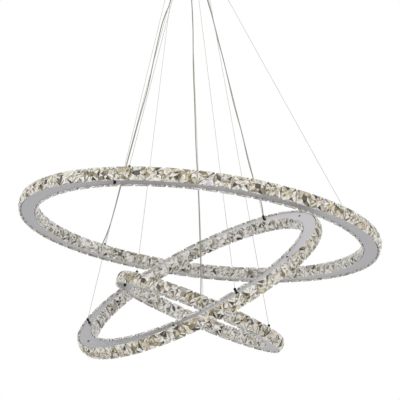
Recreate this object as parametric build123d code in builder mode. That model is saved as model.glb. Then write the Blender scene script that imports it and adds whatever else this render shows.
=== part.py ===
from build123d import *
from dataclasses import dataclass
from math import atan, cos, degrees, floor, hypot, pi, radians, sin, sqrt, tan
import os

os.makedirs("parts", exist_ok=True)

# A chandelier of three crystal rings, each hung from one ceiling canopy by three wires.
# Millimetres. The origin is on the ceiling, in the middle of the mounting bar; Z points up.

# Outside diameter of each ring, over its crystals
large_ring_diameter = 806.0
medium_ring_diameter = 600.0
small_ring_diameter = 400.0

# Drop from the ceiling to the middle of each ring
large_ring_drop = 605.0
medium_ring_drop = 716.0
small_ring_drop = 785.0

# How far the middle of the large ring hangs to the right of the canopy's middle
large_ring_shift = 4.5

# Tilt of each ring from level, and the compass direction that its low side faces, in degrees
large_ring_tilt = 18.5
medium_ring_tilt = 27.8
small_ring_tilt = 26.8
large_ring_lean = 62.6
medium_ring_lean = 204.5
small_ring_lean = 25.3

# Turn of each ring's first hanger about the ring, in degrees
large_hanger_turn = 8.8
medium_hanger_turn = 49.0
small_hanger_turn = 89.6

# Radius and turn of each ring's three wire grippers on the canopy
large_gripper_circle = 68.0
medium_gripper_circle = 51.0
small_gripper_circle = 44.5
large_gripper_turn = 5.8
medium_gripper_turn = 46.9
small_gripper_turn = 87.5

# Section of a ring
section_width = 44.5
frame_height = 22.5
plate_thickness = 1.2
plate_crystal_gap = 0.64
plate_edge_radius = 0.4
core_wall = 1.5
core_lip = 5.0
diffuser_thickness = 1.5
diffuser_slack = 0.2
led_strip_height = 10.0
led_strip_thickness = 1.0
led_strip_gap = 1.2
glue_line = 0.3
seat_clearance = 0.3

# One crystal: a cut-cornered block with a pyramid of facets in front and behind
crystal_width = 33.0
crystal_height = 28.5
crystal_corner = 3.0
crystal_front_depth = 3.8
crystal_girdle = 0.8
crystal_back_depth = 4.4
crystal_front_table = 0.36
crystal_back_table = 0.45
crystal_gap = 0.8

# Fasteners on each ring
hangers_per_ring = 3
screws_per_ring = 6
screw_head_radius = 2.4
screw_head_height = 1.3
screw_shank_radius = 1.45
screw_length = 6.0
under_screw_distance = 25.0
under_screw_head_radius = 2.9
under_screw_head_height = 6.0
hanger_base_radius = 3.6
hanger_base_height = 1.4
hanger_post_radius = 2.0
hanger_ball_radius = 3.0
hanger_ball_rise = 9.0
hanger_thread_radius = 2.0
hanger_thread_length = 7.0
gland_base_radius = 3.2
gland_base_height = 2.0
gland_ball_radius = 2.6
gland_ball_rise = 2.6
gland_thread_radius = 2.2
gland_thread_length = 7.0
gland_gap = 0.7
thread_clearance = 0.1
hole_clearance = 0.25

# Wires and cables
wire_diameter = 1.0
wire_bend_radius = 5.0
wire_socket_clearance = 0.3
wire_start_above_mouth = 38.0
cable_diameter = 2.4
cable_bore_clearance = 0.15

# Canopy
canopy_diameter = 250.0
canopy_depth = 40.0
canopy_sheet = 1.2
canopy_edge_radius = 6.0
canopy_rim_gap = 1.0
bar_end_gap = 11.8
bar_width = 30.0
bar_thickness = 3.0
bar_slot_spacing = 100.0
bar_slot_length = 16.0
bar_slot_width = 5.5
bar_cable_hole_radius = 6.0
bar_cable_hole_offset = 32.0
stud_edge_distance = 12.0
stud_radius = 2.0
stud_projection = 6.0
cap_nut_radius = 5.0
cap_nut_height = 8.0

# Wire gripper: a threaded body with a sprung release nose
gripper_radius = 5.5
gripper_length = 14.0
gripper_neck_radius = 4.0
gripper_neck_length = 14.0
gripper_wall = 1.5
gripper_ledge = 2.0
gripper_shoulder = 2.0
gripper_nut_flats = 13.0
gripper_nut_height = 5.0
nose_radius = 3.0
nose_projection = 5.0
nose_flange = 2.0
nose_sleeve_radius = 1.8
nose_sleeve_length = 4.0
nose_travel = 2.0
nose_clearance = 0.1
wire_bore_clearance = 0.4
nose_flare = 0.8
spring_wire_gap = 0.3
spring_wall = 1.2

# Cord grip beside one gripper of each ring
grip_spacing = 16.0
grip_radius = 4.5
grip_collar = 6.0
grip_taper = 10.0
grip_tip_radius = 2.6
grip_neck_radius = 3.5
grip_neck_length = 12.0
grip_nut_flats = 11.0
grip_nut_height = 4.0

# Drivers, one for each ring, and the terminal block
driver_length = 70.0
driver_width = 30.0
driver_height = 22.0
driver_wall = 1.5
driver_lid = 1.5
driver_wall_gap = 5.5
driver_turn = 90.0
board_thickness = 1.6
board_margin = 0.5
board_rise = 3.0
coil_block_size = 16.0
coil_block_height = 12.0
capacitor_radius = 5.0
capacitor_height = 13.0
terminal_length = 42.0
terminal_width = 15.0
terminal_height = 14.0
terminal_poles = 5
terminal_hole_radius = 1.8
terminal_screw_radius = 1.6
terminal_screw_length = 5.0
earth_screw_offset = 76.0
earth_screw_radius = 2.0
earth_head_radius = 4.0
earth_head_height = 2.6

# Places worked out from the sizes above
canopy_bottom = -(canopy_rim_gap + canopy_depth)
canopy_floor = canopy_bottom + canopy_sheet
wire_mouth = canopy_bottom - gripper_length - nose_projection
crystal_depth = crystal_front_depth + crystal_girdle + crystal_back_depth
frame_half = frame_height / 2
core_half = frame_half - plate_thickness
table_half = crystal_height / 2 * crystal_back_table
back_slope = crystal_back_depth / (crystal_height / 2 - table_half)
plate_setback = crystal_depth - (core_half - table_half) * back_slope + plate_crystal_gap
strip_depth = diffuser_thickness + led_strip_gap + led_strip_thickness + glue_line
gland_distance = hanger_base_radius + gland_base_radius + gland_gap
nose_bore_radius = wire_diameter / 2 + wire_bore_clearance
bar_length = canopy_diameter - 2 * (canopy_sheet + bar_end_gap)
stud_spacing = bar_length - 2 * stud_edge_distance
driver_reach = canopy_diameter / 2 - canopy_sheet - driver_wall_gap
driver_circle = sqrt(driver_reach**2 - (driver_length / 2) ** 2) - driver_width / 2


@dataclass
class Ring:
    """One ring: its size, where it hangs, and where its wires and cable go."""

    name: str
    diameter: float
    drop: float
    tilt: float
    lean: float
    hanger_turn: float
    gripper_circle: float
    gripper_turn: float
    cable_hanger: int
    gland_direction: float
    under_screw_hanger: int
    cable_route: list
    shift: float = 0.0

    @property
    def plane(self):
        tilt, lean = radians(self.tilt), radians(self.lean)
        normal = Vector(sin(tilt) * cos(lean), sin(tilt) * sin(lean), cos(tilt))
        along = Vector(1, 0, 0) - normal * normal.X
        return Plane(origin=(self.shift, 0, -self.drop), x_dir=along, z_dir=normal)

    @property
    def radius(self):
        return self.diameter / 2

    @property
    def middle_radius(self):
        return self.radius - section_width / 2

    @property
    def core_outer(self):
        return self.radius - crystal_depth - seat_clearance - strip_depth

    @property
    def under_screw_radius(self):
        """The under-screw passes through the middle of the channel's outer lip."""
        return self.core_outer - core_wall - core_lip / 2

    @property
    def under_screw_turn(self):
        before = degrees(under_screw_distance / self.under_screw_radius)
        return self.hanger_place(self.under_screw_hanger) - before

    def hanger_place(self, number):
        """Turn of one hanger about the ring, in degrees."""
        return self.hanger_turn + number * 360 / hangers_per_ring

    def gland_place(self):
        """Centre of the cable gland beside its hanger, in the ring's own plane."""
        turn, direction = radians(self.hanger_place(self.cable_hanger)), radians(self.gland_direction)
        x = self.middle_radius * cos(turn) + gland_distance * cos(direction)
        return (x, self.middle_radius * sin(turn) + gland_distance * sin(direction))

    def gripper_places(self):
        """Centres of this ring's grippers, seen from above."""
        turns = [radians(self.gripper_turn + 360 * n / hangers_per_ring) for n in range(hangers_per_ring)]
        return [(self.gripper_circle * cos(turn), self.gripper_circle * sin(turn)) for turn in turns]

    def grip_place(self):
        """Centre of this ring's cord grip, behind the gripper of the same wire."""
        x, y = self.gripper_places()[self.cable_hanger]
        return (x, y + grip_spacing)

    def hanger_balls(self):
        """Centres of the balls that hold the wires' lower ends."""
        balls = []
        for number in range(hangers_per_ring):
            turn = radians(self.hanger_place(number))
            x, y = self.middle_radius * cos(turn), self.middle_radius * sin(turn)
            balls.append(self.plane.from_local_coords(Vector(x, y, frame_half + hanger_ball_rise)))
        return balls

    def gland_ball(self):
        return self.plane.from_local_coords(Vector(*self.gland_place(), frame_half + gland_ball_rise))


# Routes of the three cables, from inside the cord grip to the gland on the ring
large_cable_route = [
    (-39.8, 71.2, -30), (-39.8, 71.2, -73), (-63.5, 88.5, -116), (-78, 109, -165), (-93.5, 133, -222),
    (-108, 156, -278), (-127.5, 178, -332), (-146, 201.5, -389), (-166, 225.5, -448),
    (-185, 249, -507), (-203, 271.5, -562), (-218, 290, -604), (-236.9, 298.6, -641.9),
]
medium_cable_route = [
    (34.8, 53.2, -30), (34.8, 53.2, -73), (48, 65, -116), (57.5, 78.5, -162), (71.5, 93.5, -214),
    (83, 107.5, -268), (95, 122, -325), (111, 137, -382), (121.5, 153, -438), (133.5, 166.5, -484),
    (145.5, 176.5, -520), (153, 183.5, -545), (156, 188.5, -565), (157.9, 192.9, -582.4),
]
small_cable_route = [
    (1.9, 60.5, -30), (1.9, 60.5, -73), (4, 68.5, -122), (3, 77.5, -180), (1.5, 87, -241),
    (2.5, 97.5, -301), (2.5, 108.5, -358), (2.5, 120, -420), (4.5, 129.5, -480), (5.5, 138, -540),
    (5.5, 147, -600), (5.5, 157, -662), (5.5, 166.5, -722), (3, 172.5, -771), (-0.1, 177, -807.7),
]

rings = [
    Ring(
        "large", large_ring_diameter, large_ring_drop, large_ring_tilt, large_ring_lean, large_hanger_turn,
        large_gripper_circle, large_gripper_turn, 1, 180, 2, large_cable_route, large_ring_shift,
    ),
    Ring(
        "medium", medium_ring_diameter, medium_ring_drop, medium_ring_tilt, medium_ring_lean,
        medium_hanger_turn, medium_gripper_circle, medium_gripper_turn, 0, 100, 2, medium_cable_route,
    ),
    Ring(
        "small", small_ring_diameter, small_ring_drop, small_ring_tilt, small_ring_lean, small_hanger_turn,
        small_gripper_circle, small_gripper_turn, 0, 180, 1, small_cable_route,
    ),
]

gripper_places = [place for ring in rings for place in ring.gripper_places()]
grip_places = [ring.grip_place() for ring in rings]


def save(builder, name):
    """Labels a finished piece and writes it to its own file."""
    builder.part.label = name
    export_step(builder.part, f"parts/{name}.step")


def annulus(outer, inner):
    """A flat ring in the sketch being drawn."""
    Circle(outer)
    Circle(inner, mode=Mode.SUBTRACT)


def crystal_loop(depth, share):
    """The crystal's cut-cornered outline at one depth, as a share of its full size."""
    across, up, cut = crystal_width / 2 * share, crystal_height / 2 * share, crystal_corner * share
    corners = [
        (across, up - cut), (across - cut, up), (cut - across, up), (-across, up - cut),
        (-across, cut - up), (cut - across, -up), (across - cut, -up), (across, cut - up),
    ]
    return [Vector(depth, y, z) for y, z in corners]


def crystal_solid():
    """A crystal with its back table in the YZ plane and its front facing +X."""
    loops = [
        crystal_loop(0, crystal_back_table),
        crystal_loop(crystal_back_depth, 1),
        crystal_loop(crystal_back_depth + crystal_girdle, 1),
        crystal_loop(crystal_depth, crystal_front_table),
    ]
    facets = [Face(Wire.make_polygon(loops[0])), Face(Wire.make_polygon(loops[-1]))]
    for near, far in zip(loops, loops[1:]):
        for n in range(len(near)):
            m = (n + 1) % len(near)
            facets.append(Face(Wire.make_polygon([near[n], near[m], far[m], far[n]])))
    return Solid(Shell(facets))


def crystal_count(tightest_radius):
    """How many crystals fit round a circle, where they stand closest."""
    step = 2 * degrees(atan((crystal_width + crystal_gap) / 2 / tightest_radius))
    return floor(360 / step)


with BuildPart() as crystal:
    add(crystal_solid())


def make_plates(ring):
    """The flat plates above and below, with holes for the hangers, screws and gland."""
    outer, inner = ring.radius - plate_setback, ring.radius - section_width + plate_setback
    with BuildPart() as top_plate:
        with BuildSketch(ring.plane.offset(core_half)):
            annulus(outer, inner)
        extrude(amount=plate_thickness)
        rims = top_plate.edges().filter_by(GeomType.CIRCLE)
        fillet(rims, radius=plate_edge_radius)
        with BuildSketch(ring.plane.offset(core_half)):
            with PolarLocations(ring.middle_radius, hangers_per_ring, start_angle=ring.hanger_turn):
                Circle(hanger_thread_radius + hole_clearance)
            screw_turn = ring.hanger_turn + 180 / screws_per_ring
            with PolarLocations(ring.middle_radius, screws_per_ring, start_angle=screw_turn):
                Circle(screw_shank_radius + hole_clearance)
            with Locations(ring.gland_place()):
                Circle(gland_thread_radius + hole_clearance)
        extrude(amount=plate_thickness, mode=Mode.SUBTRACT)
    save(top_plate, f"top_plate_{ring.name}")

    with BuildPart() as bottom_plate:
        with BuildSketch(ring.plane.offset(-frame_half)):
            annulus(outer, inner)
        extrude(amount=plate_thickness)
        fillet(bottom_plate.edges().filter_by(GeomType.CIRCLE), radius=plate_edge_radius)
        with BuildSketch(ring.plane.offset(-frame_half)):
            with PolarLocations(ring.under_screw_radius, 1, start_angle=ring.under_screw_turn):
                Circle(screw_shank_radius + hole_clearance)
        extrude(amount=plate_thickness, mode=Mode.SUBTRACT)
    save(bottom_plate, f"bottom_plate_{ring.name}")


def make_core(ring):
    """Channel, light strips and diffusers between the plates."""
    table_reach = crystal_width / 2 * crystal_back_table
    outer_face = ring.radius - crystal_depth - seat_clearance
    inner_face = hypot(ring.radius - section_width + crystal_depth, table_reach) + seat_clearance
    core_outer = ring.core_outer
    core_inner = inner_face + strip_depth

    with BuildPart() as core_channel:
        with BuildSketch(ring.plane.offset(-core_half)):
            annulus(core_outer, core_inner)
        extrude(amount=2 * core_half)
        with BuildSketch(ring.plane.offset(-core_half)):
            annulus(core_outer - core_wall, core_inner + core_wall)
        extrude(amount=2 * core_half - core_wall, mode=Mode.SUBTRACT)
        with BuildSketch(ring.plane.offset(-core_half)):
            annulus(core_outer - core_wall / 2, core_outer - core_wall - core_lip)
            annulus(core_inner + core_wall + core_lip, core_inner + core_wall / 2)
        extrude(amount=core_wall)
        with BuildSketch(ring.plane.offset(-core_half)):
            with PolarLocations(ring.under_screw_radius, 1, start_angle=ring.under_screw_turn):
                Circle(screw_shank_radius + thread_clearance)
        extrude(amount=core_wall, mode=Mode.SUBTRACT)
        with BuildSketch(ring.plane.offset(core_half - core_wall)):
            with PolarLocations(ring.middle_radius, hangers_per_ring, start_angle=ring.hanger_turn):
                Circle(hanger_thread_radius + thread_clearance)
            screw_turn = ring.hanger_turn + 180 / screws_per_ring
            with PolarLocations(ring.middle_radius, screws_per_ring, start_angle=screw_turn):
                Circle(screw_shank_radius + thread_clearance)
            with Locations(ring.gland_place()):
                Circle(gland_thread_radius + thread_clearance)
        extrude(amount=core_wall, mode=Mode.SUBTRACT)
    save(core_channel, f"core_channel_{ring.name}")

    with BuildPart() as led_strips:
        with BuildSketch(ring.plane.offset(-led_strip_height / 2)):
            annulus(core_outer + glue_line + led_strip_thickness, core_outer + glue_line)
            annulus(core_inner - glue_line, core_inner - glue_line - led_strip_thickness)
        extrude(amount=led_strip_height)
    save(led_strips, f"led_strips_{ring.name}")

    with BuildPart() as diffusers:
        with BuildSketch(ring.plane.offset(-core_half)):
            annulus(outer_face, outer_face - diffuser_thickness)
            annulus(inner_face + diffuser_thickness, inner_face)
        extrude(amount=2 * core_half - diffuser_slack)
    save(diffusers, f"diffusers_{ring.name}")


def make_crystals(ring):
    """The rows of crystals on the outer and inner faces of the ring."""
    outer_back = ring.radius - crystal_depth
    inner_back = ring.radius - section_width + crystal_depth
    outer_count = crystal_count(outer_back + crystal_back_depth)
    inner_count = crystal_count(inner_back - crystal_back_depth - crystal_girdle)
    with BuildPart(ring.plane) as crystals_outer:
        with PolarLocations(outer_back, outer_count):
            add(crystal.part)
    save(crystals_outer, f"crystals_outer_{ring.name}")

    with BuildPart(ring.plane) as crystals_inner:
        with PolarLocations(inner_back, inner_count):
            add(crystal.part, rotation=(0, 0, 180))
    save(crystals_inner, f"crystals_inner_{ring.name}")
    print(ring.name, "crystals", outer_count, "outside,", inner_count, "inside")


with BuildPart() as plate_screw:
    with BuildSketch(Plane.XY):
        Circle(screw_head_radius)
    extrude(amount=screw_head_height)
    fillet(plate_screw.edges().group_by(Axis.Z)[-1], radius=screw_head_height / 2)
    with BuildSketch(Plane.XY):
        Circle(screw_shank_radius)
    extrude(amount=-screw_length)

with BuildPart() as under_screw:
    with BuildSketch(Plane.XY):
        Circle(under_screw_head_radius)
    extrude(amount=-under_screw_head_height)
    chamfer(under_screw.edges().group_by(Axis.Z)[0], length=screw_head_height / 2)
    with BuildSketch(Plane.XY):
        Circle(screw_shank_radius)
    extrude(amount=screw_length)

with BuildPart() as hanger_stud:
    with BuildSketch(Plane.XY):
        Circle(hanger_base_radius)
    extrude(amount=hanger_base_height)
    fillet(hanger_stud.edges().group_by(Axis.Z)[-1], radius=hanger_base_height / 3)
    with BuildSketch(Plane.XY):
        Circle(hanger_post_radius)
    extrude(amount=hanger_ball_rise)
    with Locations((0, 0, hanger_ball_rise)):
        Sphere(hanger_ball_radius)
    with BuildSketch(Plane.XY):
        Circle(hanger_thread_radius)
    extrude(amount=-hanger_thread_length)

with BuildPart() as gland_body:
    with BuildSketch(Plane.XY):
        Circle(gland_base_radius)
    extrude(amount=gland_base_height)
    fillet(gland_body.edges().group_by(Axis.Z)[-1], radius=gland_base_height / 3)
    with Locations((0, 0, gland_ball_rise)):
        Sphere(gland_ball_radius)
    with BuildSketch(Plane.XY):
        Circle(gland_thread_radius)
    extrude(amount=-gland_thread_length)
    with BuildSketch(Plane.XY.offset(gland_ball_rise)):
        Circle(cable_diameter / 2 + cable_bore_clearance)
    extrude(amount=-(gland_ball_rise + gland_thread_length), mode=Mode.SUBTRACT)


def make_top_fittings(ring):
    """Screws of both plates, with the wire hangers and the cable gland on top."""
    top = ring.plane.offset(frame_half)
    with BuildPart(top) as plate_screws:
        screw_turn = ring.hanger_turn + 180 / screws_per_ring
        with PolarLocations(ring.middle_radius, screws_per_ring, start_angle=screw_turn):
            add(plate_screw.part)
        with Locations((0, 0, -frame_height)):
            with PolarLocations(ring.under_screw_radius, 1, start_angle=ring.under_screw_turn):
                add(under_screw.part)
    save(plate_screws, f"plate_screws_{ring.name}")

    with BuildPart(top) as hanger_studs:
        with PolarLocations(ring.middle_radius, hangers_per_ring, start_angle=ring.hanger_turn):
            add(hanger_stud.part)
        for (x, y), ball in zip(ring.gripper_places(), ring.hanger_balls()):
            towards_gripper = (Vector(x, y, wire_mouth) - ball).normalized()
            with BuildSketch(Plane(ball, z_dir=towards_gripper)):
                Circle(wire_diameter / 2 + wire_socket_clearance)
            extrude(amount=2 * hanger_ball_radius, mode=Mode.SUBTRACT)
    save(hanger_studs, f"hanger_studs_{ring.name}")

    with BuildPart(top) as cable_gland:
        with Locations(ring.gland_place()):
            add(gland_body.part)
        ball = ring.gland_ball()
        towards_cable = (Vector(*ring.cable_route[-2]) - ball).normalized()
        with BuildSketch(Plane(ball, z_dir=towards_cable).offset(-cable_bore_clearance)):
            Circle(cable_diameter / 2 + cable_bore_clearance)
        extrude(amount=2 * gland_ball_radius, mode=Mode.SUBTRACT)
    save(cable_gland, f"cable_gland_{ring.name}")


def make_wires(ring):
    """Three wires, each straight from its gripper's mouth to its hanger."""
    with BuildPart() as wires:
        for (x, y), ball in zip(ring.gripper_places(), ring.hanger_balls()):
            mouth = Vector(x, y, wire_mouth)
            top = mouth + Vector(0, 0, wire_start_above_mouth)
            end = ball + (mouth - ball).normalized() * wire_socket_clearance
            with BuildLine() as path:
                FilletPolyline(top, mouth, end, radius=wire_bend_radius)
            with BuildSketch(Plane(path.line @ 0, z_dir=path.line % 0)):
                Circle(wire_diameter / 2)
            sweep()
            print(ring.name, "wire", round(path.wire().length, 1), "mm")
    save(wires, f"wires_{ring.name}")


def bend_radii(route):
    """The radius at each corner: 0.45 of the shorter run, over the tangent of half the turn."""
    points = [Vector(*point) for point in route]
    radii = []
    for before, corner, after in zip(points, points[1:], points[2:]):
        run_in, run_out = corner - before, after - corner
        half_turn = radians(run_in.get_angle(run_out)) / 2
        radii.append(0.45 * min(run_in.length, run_out.length) / tan(half_turn))
    return radii


def make_cable(ring):
    """The ring's supply cable, hanging loosely beside one wire."""
    radii = bend_radii(ring.cable_route)
    with BuildPart() as cable:
        with BuildLine() as path:
            FilletPolyline(*ring.cable_route, radius=radii)
        with BuildSketch(Plane(path.line @ 0, z_dir=path.line % 0)):
            Circle(cable_diameter / 2)
        sweep()
    length = path.wire().length
    plain_volume = pi * (cable_diameter / 2) ** 2 * length
    print(ring.name, "cable", round(length, 1), "mm, volume over section times length",
          round(cable.part.volume / plain_volume, 4))
    print("  bend radii", [round(radius) for radius in radii])
    save(cable, f"cable_{ring.name}")


for ring in rings:
    make_plates(ring)
    make_core(ring)
    make_crystals(ring)
    make_top_fittings(ring)
    make_wires(ring)
    make_cable(ring)

# Canopy: a sheet-metal pan that hides the mounting bar and carries the grippers
with BuildPart() as canopy_cover:
    with BuildSketch(Plane.XY.offset(canopy_bottom)):
        Circle(canopy_diameter / 2)
    extrude(amount=canopy_depth)
    fillet(canopy_cover.edges().group_by(Axis.Z)[0], radius=canopy_edge_radius)
    offset(amount=-canopy_sheet, openings=canopy_cover.faces().sort_by(Axis.Z)[-1])
    with BuildSketch(Plane.XY.offset(canopy_bottom)):
        with Locations(*gripper_places):
            Circle(gripper_neck_radius + hole_clearance)
        with Locations(*grip_places):
            Circle(grip_neck_radius + hole_clearance)
        with GridLocations(stud_spacing, 0, 2, 1):
            Circle(stud_radius + hole_clearance)
    extrude(amount=canopy_sheet, mode=Mode.SUBTRACT)
save(canopy_cover, "canopy_cover")

# Bar that screws to the ceiling through two slots
with BuildPart() as mounting_bar:
    with BuildSketch(Plane.XY):
        Rectangle(bar_length, bar_width)
        with GridLocations(bar_slot_spacing, 0, 2, 1):
            SlotOverall(bar_slot_length, bar_slot_width, mode=Mode.SUBTRACT)
        with Locations((-bar_cable_hole_offset, 0)):
            Circle(bar_cable_hole_radius, mode=Mode.SUBTRACT)
        with Locations((earth_screw_offset, 0)):
            Circle(earth_screw_radius + thread_clearance, mode=Mode.SUBTRACT)
    extrude(amount=-bar_thickness)
save(mounting_bar, "mounting_bar")

with BuildPart() as canopy_studs:
    with BuildSketch(Plane.XY.offset(-bar_thickness)):
        with GridLocations(stud_spacing, 0, 2, 1):
            Circle(stud_radius)
    extrude(amount=canopy_bottom - stud_projection + bar_thickness)
save(canopy_studs, "canopy_studs")

with BuildPart() as cap_nuts:
    with BuildSketch(Plane.XY.offset(canopy_bottom)):
        with GridLocations(stud_spacing, 0, 2, 1):
            Circle(cap_nut_radius)
    extrude(amount=-cap_nut_height)
    fillet(cap_nuts.edges().group_by(Axis.Z)[0], radius=cap_nut_radius / 2)
    with BuildSketch(Plane.XY.offset(canopy_bottom)):
        with GridLocations(stud_spacing, 0, 2, 1):
            Circle(stud_radius + thread_clearance)
    extrude(amount=-(stud_projection + hole_clearance), mode=Mode.SUBTRACT)
save(cap_nuts, "cap_nuts")

# Wire gripper, its origin on the canopy's underside
chamber_radius = gripper_radius - gripper_wall
flange_radius = chamber_radius - nose_clearance
flange_seat = gripper_ledge - gripper_length
with BuildPart() as gripper:
    with BuildSketch(Plane.XY):
        Circle(gripper_radius)
    extrude(amount=-gripper_length)
    chamfer(gripper.edges().group_by(Axis.Z)[0], length=gripper_wall / 2)
    with BuildSketch(Plane.XY):
        Circle(gripper_neck_radius)
    extrude(amount=gripper_neck_length)
    with BuildSketch(Plane.XY.offset(-gripper_length)):
        Circle(nose_radius + nose_clearance)
    extrude(amount=gripper_ledge, mode=Mode.SUBTRACT)
    with BuildSketch(Plane.XY.offset(flange_seat)):
        Circle(chamber_radius)
    extrude(amount=-gripper_shoulder - flange_seat, mode=Mode.SUBTRACT)
    with BuildSketch(Plane.XY.offset(-gripper_shoulder)):
        Circle(nose_bore_radius)
    extrude(amount=gripper_shoulder + gripper_neck_length, mode=Mode.SUBTRACT)

with BuildPart(Plane.XY.offset(canopy_bottom)) as gripper_bodies:
    with Locations(*gripper_places):
        add(gripper.part)
save(gripper_bodies, "gripper_bodies")

with BuildPart() as nose:
    with BuildSketch(Plane.XY.offset(-gripper_length - nose_projection)):
        Circle(nose_radius)
    extrude(amount=nose_projection + gripper_ledge)
    chamfer(nose.edges().group_by(Axis.Z)[0], length=nose_flare)
    with BuildSketch(Plane.XY.offset(flange_seat)):
        Circle(flange_radius)
    extrude(amount=nose_flange)
    with BuildSketch(Plane.XY.offset(flange_seat + nose_flange)):
        Circle(nose_sleeve_radius)
    extrude(amount=nose_sleeve_length)
    with BuildSketch(Plane.XY.offset(-gripper_length - nose_projection)):
        Circle(nose_bore_radius)
    extrude(amount=gripper_length + nose_projection, mode=Mode.SUBTRACT)
    mouth_edge = nose.edges().group_by(Axis.Z)[0].sort_by(SortBy.RADIUS)[0]
    chamfer(mouth_edge, length=nose_flare)

for ring in rings:
    for number, place in enumerate(ring.gripper_places(), start=1):
        with BuildPart(Plane.XY.offset(canopy_bottom)) as release_nose:
            with Locations(place):
                add(nose.part)
        save(release_nose, f"release_nose_{ring.name}_{number}")

# The return springs are drawn pressed to their shortest, against the gripper's shoulder
with BuildPart() as gripper_springs:
    with BuildSketch(Plane.XY.offset(canopy_bottom - gripper_shoulder)):
        with Locations(*gripper_places):
            Circle(nose_sleeve_radius + spring_wire_gap + spring_wall)
            Circle(nose_sleeve_radius + spring_wire_gap, mode=Mode.SUBTRACT)
    spring_end = flange_seat + nose_flange + nose_travel + spring_wire_gap
    extrude(amount=spring_end + gripper_shoulder)
save(gripper_springs, "gripper_springs")

with BuildPart() as gripper_nuts:
    with BuildSketch(Plane.XY.offset(canopy_floor)):
        with Locations(*gripper_places):
            RegularPolygon(gripper_nut_flats / 2, 6, major_radius=False)
            Circle(gripper_neck_radius + thread_clearance, mode=Mode.SUBTRACT)
    extrude(amount=gripper_nut_height)
save(gripper_nuts, "gripper_nuts")

# Cord grips and their nuts
with BuildPart() as cord_grips:
    with BuildSketch(Plane.XY.offset(canopy_bottom)):
        with Locations(*grip_places):
            Circle(grip_radius)
    extrude(amount=-grip_collar)
    for place in grip_places:
        with BuildSketch(Plane.XY.offset(canopy_bottom - grip_collar)):
            with Locations(place):
                Circle(grip_radius - thread_clearance)
        with BuildSketch(Plane.XY.offset(canopy_bottom - grip_collar - grip_taper)):
            with Locations(place):
                Circle(grip_tip_radius)
        loft()
    with BuildSketch(Plane.XY.offset(canopy_bottom)):
        with Locations(*grip_places):
            Circle(grip_neck_radius)
    extrude(amount=grip_neck_length)
    with BuildSketch(Plane.XY.offset(canopy_bottom - grip_collar - grip_taper)):
        with Locations(*grip_places):
            Circle(cable_diameter / 2 + cable_bore_clearance)
    extrude(amount=grip_collar + grip_taper + grip_neck_length, mode=Mode.SUBTRACT)
save(cord_grips, "cord_grips")

with BuildPart() as grip_nuts:
    with BuildSketch(Plane.XY.offset(canopy_floor)):
        with Locations(*grip_places):
            RegularPolygon(grip_nut_flats / 2, 6, major_radius=False)
            Circle(grip_neck_radius + thread_clearance, mode=Mode.SUBTRACT)
    extrude(amount=grip_nut_height)
save(grip_nuts, "grip_nuts")

# Drivers on the canopy's floor, one for each ring
cavity_width = driver_width - 2 * driver_wall
cavity_length = driver_length - 2 * driver_wall
with BuildPart() as driver_cases:
    with BuildSketch(Plane.XY.offset(canopy_floor)):
        with PolarLocations(driver_circle, len(rings), start_angle=driver_turn):
            Rectangle(driver_width, driver_length)
    extrude(amount=driver_height)
    with BuildSketch(Plane.XY.offset(canopy_floor + driver_wall)):
        with PolarLocations(driver_circle, len(rings), start_angle=driver_turn):
            Rectangle(cavity_width, cavity_length)
    extrude(amount=driver_height - driver_wall, mode=Mode.SUBTRACT)
    with BuildSketch(Plane.XY.offset(canopy_floor + driver_wall)):
        with PolarLocations(driver_circle, len(rings), start_angle=driver_turn):
            Rectangle(cavity_width / 2, cavity_length / 2)
    extrude(amount=board_rise)
save(driver_cases, "driver_cases")

board_base = canopy_floor + driver_wall + board_rise
with BuildPart() as driver_boards:
    with BuildSketch(Plane.XY.offset(board_base)):
        with PolarLocations(driver_circle, len(rings), start_angle=driver_turn):
            Rectangle(cavity_width - 2 * board_margin, cavity_length - 2 * board_margin)
    extrude(amount=board_thickness)
    with BuildSketch(Plane.XY.offset(board_base + board_thickness)):
        with PolarLocations(driver_circle, len(rings), start_angle=driver_turn):
            Rectangle(coil_block_size, coil_block_size)
    extrude(amount=coil_block_height)
    with BuildSketch(Plane.XY.offset(board_base + board_thickness)):
        with PolarLocations(driver_circle, len(rings), start_angle=driver_turn):
            with Locations((0, coil_block_size + capacitor_radius / 2)):
                Circle(capacitor_radius)
    extrude(amount=capacitor_height)
save(driver_boards, "driver_boards")

with BuildPart() as driver_lids:
    with BuildSketch(Plane.XY.offset(canopy_floor + driver_height)):
        with PolarLocations(driver_circle, len(rings), start_angle=driver_turn):
            Rectangle(driver_width, driver_length)
    extrude(amount=driver_lid)
save(driver_lids, "driver_lids")

# Terminal block and earth screw under the bar
terminal_pitch = terminal_length / terminal_poles
terminal_bottom = -bar_thickness - terminal_height
with BuildPart() as terminal_block:
    with BuildSketch(Plane.XY.offset(-bar_thickness)):
        Rectangle(terminal_length, terminal_width)
    extrude(amount=-terminal_height)
    with BuildSketch(Plane.XZ.offset(-terminal_width / 2)):
        with Locations((0, -bar_thickness - terminal_height / 3)):
            with GridLocations(terminal_pitch, 0, terminal_poles, 1):
                Circle(terminal_hole_radius)
    extrude(amount=terminal_width, mode=Mode.SUBTRACT)
    with BuildSketch(Plane.XY.offset(terminal_bottom)):
        with GridLocations(terminal_pitch, 0, terminal_poles, 1):
            Circle(terminal_screw_radius + thread_clearance)
    extrude(amount=terminal_screw_length, mode=Mode.SUBTRACT)
save(terminal_block, "terminal_block")

with BuildPart() as terminal_screws:
    with BuildSketch(Plane.XY.offset(terminal_bottom)):
        with GridLocations(terminal_pitch, 0, terminal_poles, 1):
            Circle(terminal_screw_radius)
    extrude(amount=terminal_screw_length - thread_clearance)
save(terminal_screws, "terminal_screws")

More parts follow.
